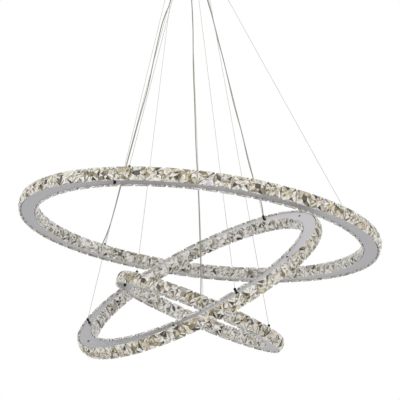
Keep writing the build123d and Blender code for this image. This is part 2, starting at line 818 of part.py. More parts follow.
with BuildPart() as earth_screw:
    with BuildSketch(Plane.XY.offset(-bar_thickness)):
        with Locations((earth_screw_offset, 0)):
            Circle(earth_head_radius)
    extrude(amount=-earth_head_height)
    with BuildSketch(Plane.XY.offset(-bar_thickness)):
        with Locations((earth_screw_offset, 0)):
            Circle(earth_screw_radius)
    extrude(amount=bar_thickness - thread_clearance)
save(earth_screw, "earth_screw")
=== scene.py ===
import math
import random

import bmesh
import bpy
from bpy.props import FloatProperty, FloatVectorProperty, IntProperty, PointerProperty
from bpy.types import Operator, Panel, PropertyGroup
from mathutils import Matrix, Vector


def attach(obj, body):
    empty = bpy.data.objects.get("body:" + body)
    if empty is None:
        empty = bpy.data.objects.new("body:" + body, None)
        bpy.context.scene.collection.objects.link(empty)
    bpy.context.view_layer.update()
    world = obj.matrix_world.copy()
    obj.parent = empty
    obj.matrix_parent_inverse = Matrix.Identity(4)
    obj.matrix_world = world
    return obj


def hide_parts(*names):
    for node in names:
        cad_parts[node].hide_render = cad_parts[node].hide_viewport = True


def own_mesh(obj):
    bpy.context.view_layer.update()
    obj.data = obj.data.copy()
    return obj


bl_info = {
    "name": "Tiered crystal chandelier",
    "version": (1, 0, 0),
    "blender": (4, 5, 0),
    "location": "View3D > Sidebar > Chandelier",
    "description": "Dresses the three crystal rings, their wires and cables, and the ceiling canopy",
    "category": "Object",
}

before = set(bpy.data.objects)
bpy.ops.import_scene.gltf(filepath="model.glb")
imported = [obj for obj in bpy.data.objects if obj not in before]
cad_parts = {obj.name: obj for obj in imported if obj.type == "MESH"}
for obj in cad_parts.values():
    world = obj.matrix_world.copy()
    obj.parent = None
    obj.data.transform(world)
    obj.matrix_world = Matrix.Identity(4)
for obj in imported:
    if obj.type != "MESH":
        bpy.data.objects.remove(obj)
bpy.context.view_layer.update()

# Lengths are in metres and angles in degrees, unless a comment says otherwise. The origin is on
# the ceiling, in the middle of the mounting bar, and Z points up.

# The rings. "radius" is over the crystals, "shift" and "drop" place the middle, "tilt" is the slope
# from level and "lean" the way in which the axis leans. "outside" and "inside" count the crystals.
# The first hanger and gripper stand at their turns, and the others follow a third of a turn apart.
RINGS = {
    "large": {
        "radius": 0.403, "shift": 0.0045, "drop": 0.605, "tilt": 18.5, "lean": 62.6,
        "outside": 74, "inside": 67,
        "hanger_turn": 8.8, "gripper_circle": 0.068, "gripper_turn": 5.8,
    },
    "medium": {
        "radius": 0.300, "shift": 0.0, "drop": 0.716, "tilt": 27.8, "lean": 204.5,
        "outside": 54, "inside": 48,
        "hanger_turn": 49.0, "gripper_circle": 0.051, "gripper_turn": 46.9,
    },
    "small": {
        "radius": 0.200, "shift": 0.0, "drop": 0.785, "tilt": 26.8, "lean": 25.3,
        "outside": 36, "inside": 29,
        "hanger_turn": 89.6, "gripper_circle": 0.0445, "gripper_turn": 87.5,
    },
}
HANGERS = 3

# A ring's section: its width over the crystals, a crystal's depth, and a hanger ball's height
SECTION_WIDTH = 0.0445
CRYSTAL_DEPTH = 0.009
BALL_HEIGHT = 0.02025

# One crystal: the depths of its three layers, the share of its size that each table keeps, and how
# far the middle of a slope is lifted
BACK_DEPTH = 0.0044
GIRDLE_DEPTH = 0.0008
FRONT_DEPTH = 0.0038
BACK_TABLE = 0.45
FRONT_TABLE = 0.36
FACET_LIFT = 0.0007

# Painted shards of light and shade on a facet: their size, how much finer they are on a crystal's
# upper and lower edges, how far they turn at most (in radians), the stretch of the pattern from
# which each is drawn, and how strongly they show
SHARD_LENGTH = 0.010
SHARD_WIDTH = 0.0038
EDGE_GRAIN = 3.0
SHARD_TURN = 0.5
SHARD_STRETCH = 500
SHARD_SHARE = 0.9

# A facet whose upright share is above this is on a crystal's upper or lower edge
EDGE_SHARE = 0.5

# A slanting line that puts a crystal's facets in order, because no two are level along it
FACET_LINE = Vector((5, 2, 0.7))

# How far light tints are painted lighter, towards white, on the inner rows: 0 is not at all, 1 is
# all the way
INNER_PAINTED_LIGHTENING = 0.9

# Heights of a gripper's mouth and of the wire's top inside it, and how far a wire stops short of its
# ball's middle
WIRE_MOUTH = -0.060
WIRE_TOP = -0.022
WIRE_INSET = 0.0003

# Roundness: a wire's sides, a cable's steps from point to point and round a quarter of its section,
# and the angle below which an edge is shaded smooth
WIRE_SIDES = 10
CABLE_STEPS = 8
CABLE_ROUNDNESS = 3
SMOOTH_ANGLE = 50

# Each supply cable's route from inside its cord grip to the gland on the ring
CABLES = {
    "large": [
        (-0.0398, 0.0712, -0.030), (-0.0398, 0.0712, -0.073), (-0.0635, 0.0885, -0.116),
        (-0.078, 0.109, -0.165), (-0.0935, 0.133, -0.222), (-0.108, 0.156, -0.278),
        (-0.1275, 0.178, -0.332), (-0.146, 0.2015, -0.389), (-0.166, 0.2255, -0.448),
        (-0.185, 0.249, -0.507), (-0.203, 0.2715, -0.562), (-0.218, 0.290, -0.604),
        (-0.2369, 0.2986, -0.6419),
    ],
    "medium": [
        (0.0348, 0.0532, -0.030), (0.0348, 0.0532, -0.073), (0.048, 0.065, -0.116),
        (0.0575, 0.0785, -0.162), (0.0715, 0.0935, -0.214), (0.083, 0.1075, -0.268),
        (0.095, 0.122, -0.325), (0.111, 0.137, -0.382), (0.1215, 0.153, -0.438),
        (0.1335, 0.1665, -0.484), (0.1455, 0.1765, -0.520), (0.153, 0.1835, -0.545),
        (0.156, 0.1885, -0.565), (0.1579, 0.1929, -0.5824),
    ],
    "small": [
        (0.0019, 0.0605, -0.030), (0.0019, 0.0605, -0.073), (0.004, 0.0685, -0.122),
        (0.003, 0.0775, -0.180), (0.0015, 0.087, -0.241), (0.0025, 0.0975, -0.301),
        (0.0025, 0.1085, -0.358), (0.0025, 0.120, -0.420), (0.0045, 0.1295, -0.480),
        (0.0055, 0.138, -0.540), (0.0055, 0.147, -0.600), (0.0055, 0.157, -0.662),
        (0.0055, 0.1665, -0.722), (0.003, 0.1725, -0.771), (-0.0001, 0.177, -0.8077),
    ],
}

# Painted reflected light and shade: the tints painted on the facets for the light that each sends
# back, the whites being painted highlights and the coloured ones painted glints, with how often each
# is met: on the front, on the sides of the back, on its upper and lower slopes, and on a crystal's
# upper and lower edges
FRONT_PAINTED_LIGHT = [
    ((1.0, 0.99, 0.96), 43),
    ((0.92, 0.89, 0.80), 22),
    ((0.70, 0.63, 0.47), 16),
    ((0.33, 0.27, 0.17), 13),
    ((0.05, 0.045, 0.03), 7),
    ((0.98, 0.84, 0.48), 2),
    ((0.74, 0.66, 0.92), 1),
    ((0.94, 0.74, 0.72), 1),
]
BACK_PAINTED_LIGHT = [
    ((1.0, 1.0, 1.0), 42),
    ((0.90, 0.85, 0.72), 20),
    ((0.58, 0.49, 0.32), 15),
    ((0.17, 0.14, 0.08), 16),
    ((1.0, 0.70, 0.30), 3),
    ((0.64, 0.50, 0.88), 1),
    ((0.82, 0.85, 0.48), 2),
    ((0.92, 0.48, 0.40), 1),
]
RIM_PAINTED_LIGHT = [
    ((1.0, 1.0, 1.0), 44),
    ((0.92, 0.90, 0.83), 24),
    ((0.70, 0.66, 0.58), 12),
    ((0.32, 0.29, 0.23), 6),
]
EDGE_PAINTED_LIGHT = [
    ((1.0, 1.0, 0.98), 6),
    ((0.80, 0.79, 0.75), 3),
    ((0.48, 0.47, 0.43), 2),
]

# Depth of a plain finish's fine relief
RELIEF_DEPTH = 0.0003

# Painted light and shade of the shards, from the darkest up: where each begins among the draws from
# 0 to 1
SHARD_PAINTED_LIGHT = (
    (0.0, (0.03, 0.025, 0.015)),
    (0.05, (0.20, 0.17, 0.11)),
    (0.13, (0.42, 0.37, 0.27)),
    (0.25, (0.60, 0.56, 0.46)),
    (0.40, (0.82, 0.79, 0.72)),
    (0.56, (1, 1, 1)),
)

# The camera: its place, its roll, and its lens and sensor in millimetres
CAMERA_PLACE = (0.0083, -2.857, -0.5352)
CAMERA_ROLL = 1.66
CAMERA_LENS = 115.7
CAMERA_SENSOR = 36.0

# The stage: the floor, each lamp's name, place, size and power in watts, the point at which they
# aim, and the strength of the surroundings as light and as what is seen behind the lamp
FLOOR_SIZE = 12
FLOOR_HEIGHT = -2.4
LAMPS = (
    ("key_light", (-2.2, -2.6, 1.2), 3.0, 40.0),
    ("fill_light", (2.6, -1.8, 0.6), 2.8, 24.0),
    ("back_light", (0.4, 2.6, 1.4), 2.4, 6.0),
)
LAMP_AIM = (0, 0, -0.65)
WORLD_LIGHT = 0.96
WORLD_SEEN = 1.0


# Sizes and colours that a user would change


class ChandelierSizes(PropertyGroup):
    crystal_width: FloatProperty(
        name="Crystal width", description="One crystal across, along its ring",
        default=0.033, min=0.01, max=0.06, subtype="DISTANCE", unit="LENGTH",
    )
    crystal_height: FloatProperty(
        name="Crystal height", description="One crystal from its lower to its upper edge",
        default=0.0285, min=0.01, max=0.06, subtype="DISTANCE", unit="LENGTH",
    )
    crystal_corner: FloatProperty(
        name="Corner cut", description="How much is cut off each corner of a crystal",
        default=0.003, min=0.001, max=0.01, subtype="DISTANCE", unit="LENGTH",
    )
    wire_diameter: FloatProperty(
        name="Wire diameter", description="Thickness of the nine hanging wires",
        default=0.001, min=0.0005, max=0.003, subtype="DISTANCE", unit="LENGTH",
    )
    cable_diameter: FloatProperty(
        name="Cable diameter", description="Thickness of the three supply cables",
        default=0.0024, min=0.001, max=0.006, subtype="DISTANCE", unit="LENGTH",
    )
    facet_seed: IntProperty(
        name="Facet seed", description="Chooses which facets are light and which are dark",
        default=11, min=0,
    )


class ChandelierColours(PropertyGroup):
    plate: FloatVectorProperty(
        name="Plate", description="Satin aluminium above and below each ring",
        default=(0.409, 0.401, 0.418), size=3, min=0, max=1, subtype="COLOR",
    )
    metal: FloatVectorProperty(
        name="Bright metal", description="Polished grippers, noses and cap nuts",
        default=(0.66, 0.66, 0.68), size=3, min=0, max=1, subtype="COLOR",
    )
    canopy: FloatVectorProperty(
        name="Canopy", description="Brushed steel of the ceiling canopy",
        default=(0.50, 0.50, 0.515), size=3, min=0, max=1, subtype="COLOR",
    )
    cable: FloatVectorProperty(
        name="Cable", description="Jacket of the supply cables",
        default=(0.27, 0.255, 0.21), size=3, min=0, max=1, subtype="COLOR",
    )
    floor: FloatVectorProperty(
        name="Floor", description="Plain floor under the lamp",
        default=(0.86, 0.86, 0.86), size=3, min=0, max=1, subtype="COLOR",
    )


# Helpers


def deselect():
    """Leaves edit mode and lets go of everything."""
    if bpy.context.object and bpy.context.object.mode != "OBJECT":
        bpy.ops.object.mode_set(mode="OBJECT")
    bpy.ops.object.select_all(action="DESELECT")


def pick(obj):
    """Makes one object the selected and active one."""
    deselect()
    obj.select_set(True)
    bpy.context.view_layer.objects.active = obj


def settle(obj):
    """Moves the object's place, turn and size into its mesh."""
    pick(obj)
    bpy.ops.object.transform_apply(location=True, rotation=True, scale=True)


def select_parts(obj, faces=None, edges=None):
    """In edit mode, selects the faces or edges for which the test holds."""
    bpy.ops.mesh.select_mode(type="FACE" if faces else "EDGE")
    bpy.ops.mesh.select_all(action="DESELECT")
    mesh = bmesh.from_edit_mesh(obj.data)
    for part in filter(faces or edges, mesh.faces if faces else mesh.edges):
        part.select_set(True)
    mesh.select_flush_mode()
    bmesh.update_edit_mesh(obj.data)


def ring_matrix(ring):
    """Turns a ring drawn flat about the origin into its place and tilt."""
    tilt, lean = math.radians(ring["tilt"]), math.radians(ring["lean"])
    up = Vector((math.sin(tilt) * math.cos(lean), math.sin(tilt) * math.sin(lean), math.cos(tilt)))
    along = (Vector((1, 0, 0)) - up * up.x).normalized()
    across = up.cross(along)
    turn = Matrix((along, across, up)).transposed().to_4x4()
    return Matrix.Translation((ring["shift"], 0, -ring["drop"])) @ turn


# Node groups and materials


def new_group(name, inputs, outputs):
    """An empty node group with its sockets, and its input and output nodes."""
    group = bpy.data.node_groups.new(name, "ShaderNodeTree")
    for label, kind, value in inputs:
        socket = group.interface.new_socket(label, in_out="INPUT", socket_type=kind)
        socket.default_value = value
    for label, kind in outputs:
        group.interface.new_socket(label, in_out="OUTPUT", socket_type=kind)
    return group, group.nodes.new("NodeGroupInput"), group.nodes.new("NodeGroupOutput")


def new_material(name):
    """A material that uses nodes, and its shader."""
    material = bpy.data.materials.new(name)
    material.use_nodes = True
    return material, material.node_tree.nodes["Principled BSDF"]


def add_maths(tree, operation, *levels):
    """Adds a Math node on sockets or numbers, and returns the socket with its result."""
    maths = tree.nodes.new("ShaderNodeMath")
    maths.operation = operation
    for socket, level in zip(maths.inputs, levels):
        if isinstance(level, float):
            socket.default_value = level
        else:
            tree.links.new(level, socket)
    return maths.outputs[0]


def add_blend(tree, kind, share, under, over):
    """Adds a Mix node on two colours, and returns the socket with its result."""
    blend = tree.nodes.new("ShaderNodeMix")
    blend.data_type = "RGBA"
    blend.blend_type = kind
    blend.inputs[0].default_value = share
    tree.links.new(under, blend.inputs[6])
    tree.links.new(over, blend.inputs[7])
    return blend.outputs[2]


def set_values(node, **values):
    """Sets a node's inputs; a label's spaces are written as underscores."""
    for label, value in values.items():
        node.inputs[label.replace("_", " ")].default_value = value


def set_stops(shades, stops):
    """Gives a Color Ramp node its stops, each with its position and colour."""
    elements = shades.color_ramp.elements
    for element, (position, colour) in zip(elements, (stops[0], stops[-1])):
        element.position = position
        element.color = (*colour, 1)
    for position, colour in stops[1:-1]:
        elements.new(position).color = (*colour, 1)


def make_mottle_group():
    """Fine cloudy variation of colour, roughness and height, for every plain finish."""
    group, start, end = new_group(
        "surface_mottle",
        [
            ("Color", "NodeSocketColor", (0.8, 0.8, 0.8, 1)),
            ("Scale", "NodeSocketFloat", 60.0),
            ("Amount", "NodeSocketFloat", 0.06),
            ("Rough", "NodeSocketFloat", 0.4),
        ],
        [
            ("Color", "NodeSocketColor"),
            ("Roughness", "NodeSocketFloat"),
            ("Height", "NodeSocketFloat"),
        ],
    )
    place = group.nodes.new("ShaderNodeTexCoord")
    cloud = group.nodes.new("ShaderNodeTexNoise")
    set_values(cloud, Detail=4)
    tint = group.nodes.new("ShaderNodeHueSaturation")
    link = group.links.new
    link(place.outputs["Object"], cloud.inputs["Vector"])
    link(start.outputs["Scale"], cloud.inputs["Scale"])
    level = add_maths(group, "SUBTRACT", cloud.outputs["Fac"], 0.5)
    sway = add_maths(group, "MULTIPLY", level, start.outputs["Amount"])
    link(add_maths(group, "ADD", sway, 1.0), tint.inputs["Value"])
    link(start.outputs["Color"], tint.inputs["Color"])
    link(tint.outputs["Color"], end.inputs["Color"])
    link(add_maths(group, "ADD", sway, start.outputs["Rough"]), end.inputs["Roughness"])
    link(cloud.outputs["Fac"], end.inputs["Height"])


def make_finish(
    name, colour, metallic, rough, scale=60.0, amount=0.08, bump=0.05, specular=0.5
):
    """A plain finish: its colour and roughness drift a little over the surface."""
    material, shader = new_material(name)
    nodes, link = material.node_tree.nodes, material.node_tree.links.new
    mottle = nodes.new("ShaderNodeGroup")
    mottle.node_tree = bpy.data.node_groups["surface_mottle"]
    set_values(mottle, Color=(*colour, 1), Scale=scale, Amount=amount, Rough=rough)
    relief = nodes.new("ShaderNodeBump")
    set_values(relief, Strength=bump, Distance=RELIEF_DEPTH)
    link(mottle.outputs["Color"], shader.inputs["Base Color"])
    link(mottle.outputs["Roughness"], shader.inputs["Roughness"])
    link(mottle.outputs["Height"], relief.inputs["Height"])
    link(relief.outputs["Normal"], shader.inputs["Normal"])
    set_values(shader, Metallic=metallic, Specular_IOR_Level=specular)
    return material


def make_painted_shard_group():
    """Splits a facet into slim shards of painted light and shade, as cut glass does to what is
    behind it.
    """
    group, start, end = new_group(
        "painted_facet_shards",
        [
            ("Place", "NodeSocketVector", (0, 0, 0)),
            ("Tint", "NodeSocketColor", (1, 1, 1, 1)),
        ],
        [("Color", "NodeSocketColor")],
    )
    cells = group.nodes.new("ShaderNodeTexVoronoi")
    set_values(cells, Scale=1.0)
    single = group.nodes.new("ShaderNodeSeparateColor")
    shades = group.nodes.new("ShaderNodeValToRGB")
    shades.color_ramp.interpolation = "CONSTANT"
    # The ramp's colours are painted light and shade
    set_stops(shades, SHARD_PAINTED_LIGHT)
    link = group.links.new
    link(start.outputs["Place"], cells.inputs["Vector"])
    link(cells.outputs["Color"], single.inputs["Color"])
    link(single.outputs["Red"], shades.inputs["Fac"])
    tint = start.outputs["Tint"]
    shown = add_blend(group, "MULTIPLY", SHARD_SHARE, tint, shades.outputs["Color"])
    link(shown, end.inputs["Color"])


def make_glass():
    """Cut glass: clear, with each facet's painted tint of reflected light and shade, and painted
    shards, from the mesh.
    """
    material, shader = new_material("cut_glass")
    nodes, link = material.node_tree.nodes, material.node_tree.links.new
    shards = nodes.new("ShaderNodeGroup")
    shards.node_tree = bpy.data.node_groups["painted_facet_shards"]
    # Reads each facet's painted light and shade and the places of its painted shards
    for attribute, output, label in (
        ("painted_facet_light", "Color", "Tint"),
        ("shard_place", "Vector", "Place"),
    ):
        reader = nodes.new("ShaderNodeAttribute")
        reader.attribute_name = attribute
        link(reader.outputs[output], shards.inputs[label])
    link(shards.outputs["Color"], shader.inputs["Base Color"])
    set_values(shader, Roughness=0.02, IOR=1.52, Transmission_Weight=0.4, Metallic=0.0)


def lay_pattern(material, kind, share, colour):
    """Blends a pattern's colour over a plain finish."""
    tree = material.node_tree
    mottle = next(n for n in tree.nodes if n.type == "GROUP")
    blended = add_blend(tree, kind, share, mottle.outputs["Color"], colour)
    tree.links.new(blended, tree.nodes["Principled BSDF"].inputs["Base Color"])


def make_board_finish():
    """Green board with pale copper tracks."""
    material = make_finish("green_board", (0.03, 0.16, 0.07), metallic=0.0, rough=0.4)
    nodes, link = material.node_tree.nodes, material.node_tree.links.new
    place = nodes.new("ShaderNodeTexCoord")
    tracks = nodes.new("ShaderNodeTexBrick")
    set_values(
        tracks, Scale=140.0, Mortar_Size=0.04, Color1=(0.02, 0.14, 0.06, 1),
        Color2=(0.03, 0.18, 0.08, 1), Mortar=(0.25, 0.38, 0.16, 1),
    )
    link(place.outputs["Object"], tracks.inputs["Vector"])
    lay_pattern(material, "MIX", 0.5, tracks.outputs["Color"])


def make_strip_finish():
    """White strip with rows of pale yellow light cells."""
    material = make_finish("light_strip", (0.9, 0.9, 0.88), metallic=0.0, rough=0.5)
    nodes, link = material.node_tree.nodes, material.node_tree.links.new
    place = nodes.new("ShaderNodeTexCoord")
    cells = nodes.new("ShaderNodeTexVoronoi")
    set_values(cells, Scale=110.0, Randomness=0.1)
    spots = nodes.new("ShaderNodeValToRGB")
    set_stops(spots, ((0.28, (0.95, 0.78, 0.25)), (0.34, (1, 1, 1))))
    link(place.outputs["Object"], cells.inputs["Vector"])
    link(cells.outputs["Distance"], spots.inputs["Fac"])
    lay_pattern(material, "MULTIPLY", 1.0, spots.outputs["Color"])


def dress(material, *names):
    """Gives CAD nodes a finish."""
    for name in names:
        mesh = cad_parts[name].data
        mesh.materials.clear()
        mesh.materials.append(bpy.data.materials[material])


# Modelling


def lies_along_x(direction):
    """Whether a unit direction is nearly that of the X axis."""
    return abs(direction.x) > 0.9


def model_crystal(sizes):
    """One cut-cornered crystal: back at X 0, front towards +X, slopes poked into facets."""
    deselect()
    bpy.ops.mesh.primitive_cube_add(size=1, location=(BACK_DEPTH + GIRDLE_DEPTH / 2, 0, 0))
    crystal = bpy.context.object
    crystal.name = "crystal_pattern"
    crystal.scale = (GIRDLE_DEPTH, sizes.crystal_width, sizes.crystal_height)
    settle(crystal)
    bpy.ops.object.mode_set(mode="EDIT")
    select_parts(
        crystal, edges=lambda e: lies_along_x((e.verts[0].co - e.verts[1].co).normalized())
    )
    bpy.ops.mesh.bevel(offset=sizes.crystal_corner, segments=1, affect="EDGES")
    for side, depth, share in ((1, FRONT_DEPTH, FRONT_TABLE), (-1, BACK_DEPTH, BACK_TABLE)):
        select_parts(crystal, faces=lambda f: lies_along_x(f.normal) and f.normal.x * side > 0)
        bpy.ops.mesh.extrude_region_move(TRANSFORM_OT_translate={"value": (side * depth, 0, 0)})
        table = BACK_DEPTH + GIRDLE_DEPTH + FRONT_DEPTH if side > 0 else 0.0
        bpy.ops.transform.resize(value=(1, share, share), center_override=(table, 0, 0))
    # The slopes are neither upright like the girdle nor flat like the tables
    select_parts(crystal, faces=lambda f: 0.05 < abs(f.normal.x) < 0.95)
    bpy.ops.mesh.poke(offset=0.0)
    bpy.ops.mesh.select_all(action="SELECT")
    bpy.ops.mesh.normals_make_consistent(inside=False)
    bpy.ops.object.mode_set(mode="OBJECT")
    sharpen_facets(crystal)
    return crystal


def sharpen_facets(crystal):
    """Lifts each slope's middle point a little, so that its four facets face different ways."""
    pick(crystal)
    bpy.ops.object.mode_set(mode="EDIT")
    bpy.ops.mesh.select_mode(type="VERT")
    bpy.ops.mesh.select_all(action="DESELECT")
    mesh = bmesh.from_edit_mesh(crystal.data)
    for v in mesh.verts:
        v.select_set(len(v.link_edges) == 4 and all(len(f.verts) == 3 for f in v.link_faces))
    bmesh.update_edit_mesh(crystal.data)
    bpy.ops.transform.shrink_fatten(value=FACET_LIFT)
    bpy.ops.object.mode_set(mode="OBJECT")


def choose_tint(palette, chooser):
    """Draws a tint from a palette, each as often as its weight says."""
    colours, weights = zip(*palette)
    return chooser.choices(colours, weights)[0]


def faces_edge(face):
    """Whether a facet is on a crystal's upper or lower edge."""
    return abs(face.normal.z) > EDGE_SHARE * (abs(face.normal.x) + abs(face.normal.y))


def palette_of(face):
    """The palette of painted light and shade for a facet of a crystal, by the way it faces."""
    if faces_edge(face):
        return EDGE_PAINTED_LIGHT
    if face.normal.x > 0:
        return FRONT_PAINTED_LIGHT
    return RIM_PAINTED_LIGHT if abs(face.normal.z) > abs(face.normal.y) else BACK_PAINTED_LIGHT


def paint_facets(crystal, chooser, painted_lift):
    """Gives every facet its painted tint of light and shade, light ones painted lighter towards
    white, and the places of its shards.
    """
    mesh = crystal.data
    # Each facet's tint is painted reflected light and shade: painted highlights, painted dark
    # reflections and painted glints
    tint = mesh.attributes.new("painted_facet_light", "FLOAT_COLOR", "CORNER")
    place = mesh.attributes.new("shard_place", "FLOAT_VECTOR", "CORNER")
    # The modelling tools leave the facets in another order each time, so they are taken by place
    for face in sorted(mesh.polygons, key=lambda f: f.center.dot(FACET_LINE)):
        picked = choose_tint(palette_of(face), chooser)
        # On the inner rows, light tints are painted lighter towards white
        colour = [1 - (1 - level) * (1 - painted_lift * max(picked)) for level in picked]
        outwards = Vector((face.center.y, face.center.z))
        # A table's middle is on the axis, so its shards start from a slanting line
        along = outwards.normalized() if outwards.length > 1e-4 else Vector((0.7, 0.7))
        along.rotate(Matrix.Rotation(chooser.uniform(-SHARD_TURN, SHARD_TURN), 2))
        across = Vector((-along.y, along.x))
        shift = Vector([chooser.uniform(0, SHARD_STRETCH) for _ in range(3)])
        grain = EDGE_GRAIN if faces_edge(face) else 1.0
        for corner in face.loop_indices:
            spot = mesh.vertices[mesh.loops[corner].vertex_index].co.yz
            tint.data[corner].color = (*colour, 1)
            place.data[corner].vector = shift + Vector(
                (grain * spot.dot(along) / SHARD_LENGTH, grain * spot.dot(across) / SHARD_WIDTH, 0)
            )


def make_row(name, pattern, ring, count, inner, chooser):
    """Copies the crystal round one face of a ring and joins the copies."""
    if inner:
        radius = ring["radius"] - SECTION_WIDTH + CRYSTAL_DEPTH
    else:
        radius = ring["radius"] - CRYSTAL_DEPTH
    place = ring_matrix(ring)
    copies = []
    for n in range(count):
        copy = bpy.data.objects.new(name, pattern.data.copy())
        bpy.context.collection.objects.link(copy)
        paint_facets(copy, chooser, INNER_PAINTED_LIGHTENING if inner else 0.0)
        around = Matrix.Rotation(2 * math.pi * n / count, 4, "Z")
        facing = Matrix.Rotation(math.pi if inner else 0.0, 4, "Z")
        copy.data.transform(place @ around @ Matrix.Translation((radius, 0, 0)) @ facing)
        copies.append(copy)
    deselect()
    for copy in copies:
        copy.select_set(True)
    bpy.context.view_layer.objects.active = copies[0]
    bpy.ops.object.join()
    row = bpy.context.object
    row.name = name
    row.data.materials.append(bpy.data.materials["cut_glass"])
    return row


def wire_places(ring):
    """For each of a ring's wires, the gripper's mouth on the canopy and the ball on the ring."""
    place = ring_matrix(ring)
    circle, middle = ring["gripper_circle"], ring["radius"] - SECTION_WIDTH / 2
    ends = []
    for n in range(HANGERS):
        above, below = (
            math.radians(ring[turn] + 360 / HANGERS * n) for turn in ("gripper_turn", "hanger_turn")
        )
        mouth = Vector((circle * math.cos(above), circle * math.sin(above), WIRE_MOUTH))
        ball = place @ Vector((middle * math.cos(below), middle * math.sin(below), BALL_HEIGHT))
        ends.append((mouth, ball))
    return ends


def make_wire(name, mouth, ball, diameter):
    """A thin wire from inside its gripper to the ball on the ring, and its lower end."""
    end = ball - (ball - mouth).normalized() * WIRE_INSET
    run = end - mouth
    deselect()
    bpy.ops.mesh.primitive_cylinder_add(
        vertices=WIRE_SIDES, radius=diameter / 2, depth=run.length, location=(mouth + end) / 2,
        rotation=(-run).to_track_quat("Z", "Y").to_euler(),
    )
    wire = bpy.context.object
    wire.name = name
    settle(wire)
    bpy.ops.object.mode_set(mode="EDIT")
    # Only the top cap faces up this much
    select_parts(wire, faces=lambda f: f.normal.z > 0.7)
    bpy.ops.mesh.extrude_region_move(
        TRANSFORM_OT_translate={"value": (0, 0, WIRE_TOP - WIRE_MOUTH)}
    )
    bpy.ops.object.mode_set(mode="OBJECT")
    bpy.ops.object.shade_smooth_by_angle(angle=math.radians(SMOOTH_ANGLE))
    wire.data.materials.append(bpy.data.materials["stranded_wire"])
    return wire, end


def make_cable(name, route, diameter):
    """A round cable along the smooth line of its route, and that line's points."""
    curve = bpy.data.curves.new(name, "CURVE")
    curve.dimensions = "3D"
    spline = curve.splines.new("NURBS")
    spline.points.add(len(route) - 1)
    for point, place in zip(spline.points, route):
        point.co = (*place, 1)
    spline.order_u = 3
    spline.use_endpoint_u = True
    curve.resolution_u = CABLE_STEPS
    cable = bpy.data.objects.new(name, curve)
    bpy.context.collection.objects.link(cable)
    line = bpy.data.meshes.new_from_object(cable)
    path = [tuple(v.co) for v in line.vertices]
    bpy.data.meshes.remove(line)
    curve.bevel_depth = diameter / 2
    curve.bevel_resolution = CABLE_ROUNDNESS
    curve.use_fill_caps = True
    pick(cable)
    bpy.ops.object.convert(target="MESH")
    cable = bpy.context.object
    bpy.ops.object.shade_smooth_by_angle(angle=math.radians(SMOOTH_ANGLE))
    cable.data.materials.append(bpy.data.materials["cable_sheath"])
    return cable, path


# Operators, one for each piece or group of like pieces


class CHANDELIER_OT_camera(Operator):
    """Sets the camera at the photograph's angle"""

    bl_idname = "chandelier.camera"
    bl_label = "Camera"

    def execute(self, context):
        data = bpy.data.cameras.new("camera")
        data.sensor_width = CAMERA_SENSOR
        data.lens = CAMERA_LENS
        camera = bpy.data.objects.new("camera", data)
        context.scene.collection.objects.link(camera)
        roll = math.radians(CAMERA_ROLL)
        right = Vector((math.cos(roll), 0, -math.sin(roll)))
        up = Vector((math.sin(roll), 0, math.cos(roll)))
        back = Vector((0, -1, 0))
        turn = Matrix((right, up, back)).transposed().to_4x4()
        camera.matrix_world = Matrix.Translation(CAMERA_PLACE) @ turn
        context.scene.camera = camera
        return {"FINISHED"}


class CHANDELIER_OT_finishes(Operator):
    """Makes the finishes of glass, metal and plastic"""

    bl_idname = "chandelier.finishes"
    bl_label = "Finishes"

    def execute(self, context):
        colours = context.scene.chandelier_colours
        make_mottle_group()
        make_painted_shard_group()
        make_finish("satin_plate", colours.plate, metallic=1.0, rough=0.4, scale=220, amount=0.05)
        make_finish("mill_channel", (0.62, 0.62, 0.63), metallic=0.9, rough=0.38, scale=150)
        make_finish(
            "frosted_diffuser", (0.9, 0.9, 0.89), metallic=0.0, rough=0.6, scale=300, amount=0.03
        )
        make_finish(
            "polished_metal", colours.metal, metallic=1.0, rough=0.22,
            scale=160, amount=0.06, bump=0.02,
        )
        make_finish(
            "brushed_canopy", colours.canopy, metallic=1.0, rough=0.36,
            scale=160, amount=0.06, bump=0.02,
        )
        make_finish(
            "blackened_metal", (0.008, 0.008, 0.008), metallic=0.0, rough=0.5,
            scale=500, specular=0.2,
        )
        make_finish(
            "stranded_wire", (0.38, 0.37, 0.35), metallic=1.0, rough=0.3,
            scale=900, amount=0.3, bump=0.4,
        )
        make_finish(
            "cable_sheath", colours.cable, metallic=0.0, rough=0.55,
            scale=120, amount=0.15, specular=0.15,
        )
        make_finish(
            "plated_steel", (0.6, 0.61, 0.62), metallic=0.9, rough=0.4, scale=180, amount=0.15
        )
        make_finish(
            "moulded_white", (0.82, 0.82, 0.8), metallic=0.0, rough=0.45,
            scale=400, amount=0.04, bump=0.15,
        )
        make_finish("yellow_brass", (0.72, 0.52, 0.2), metallic=1.0, rough=0.3, scale=200)
        make_finish("coiled_steel", (0.42, 0.43, 0.45), metallic=0.95, rough=0.3, scale=300)
        make_finish(
            "natural_nylon", (0.74, 0.74, 0.72), metallic=0.0, rough=0.35, scale=200, amount=0.05
        )
        make_glass()
        make_board_finish()
        make_strip_finish()
        return {"FINISHED"}


class CHANDELIER_OT_cables(Operator):
    """Makes the three supply cables"""

    bl_idname = "chandelier.cables"
    bl_label = "Supply cables"

    def execute(self, context):
        diameter = context.scene.chandelier_sizes.cable_diameter
        for name, route in CABLES.items():
            cable, path = make_cable(f"supply_cable_{name}", route, diameter)
            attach(cable, "canopy")
            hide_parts(f"cable_{name}")
            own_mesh(cable)
        return {"FINISHED"}


class CHANDELIER_OT_wires(Operator):
    """Makes the nine hanging wires"""

    bl_idname = "chandelier.wires"
    bl_label = "Hanging wires"

    def execute(self, context):
        diameter = context.scene.chandelier_sizes.wire_diameter
        for name, ring in RINGS.items():
            for number, (mouth, ball) in enumerate(wire_places(ring), start=1):
                wire, end = make_wire(f"hanging_wire_{name}_{number}", mouth, ball, diameter)
                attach(wire, "canopy")
                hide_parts(f"wires_{name}")
                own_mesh(wire)
        return {"FINISHED"}


